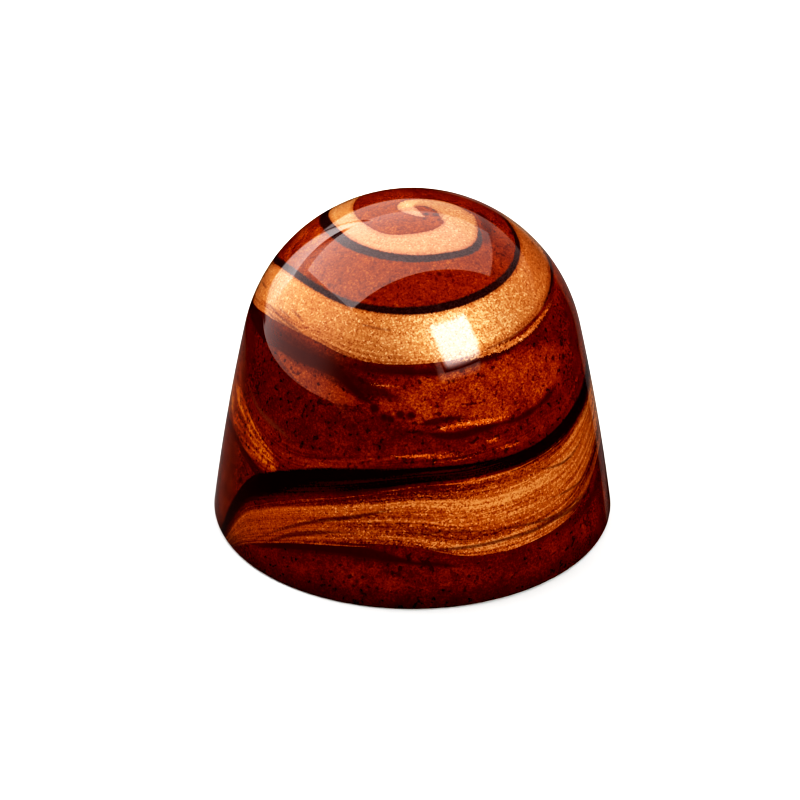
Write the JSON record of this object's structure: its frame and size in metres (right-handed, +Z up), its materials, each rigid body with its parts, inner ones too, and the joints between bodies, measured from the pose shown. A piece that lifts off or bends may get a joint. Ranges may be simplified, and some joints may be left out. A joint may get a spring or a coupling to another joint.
{
  "type": "moulded chocolate bonbon",
  "caption": "Moulded chocolate bonbon with hazelnut toffee: a glossy round dome on a flat foot, painted with a copper-gold swirl and dark lines on deep red.",
  "frame": {"origin": "middle of the flat underside, on the surface that the bonbon rests on", "axes": "+Z is up along the axis of the round dome, -Y faces the picture's viewer, and +X is to their right"},
  "size_m": [0.028, 0.028, 0.0236],
  "materials": {
    "painted_chocolate": "glossy cast chocolate shell, painted with pearly cocoa butter"
  },
  "bodies": {
    "root": {"bonbon": "painted_chocolate"}
  },
  "joints": []
}
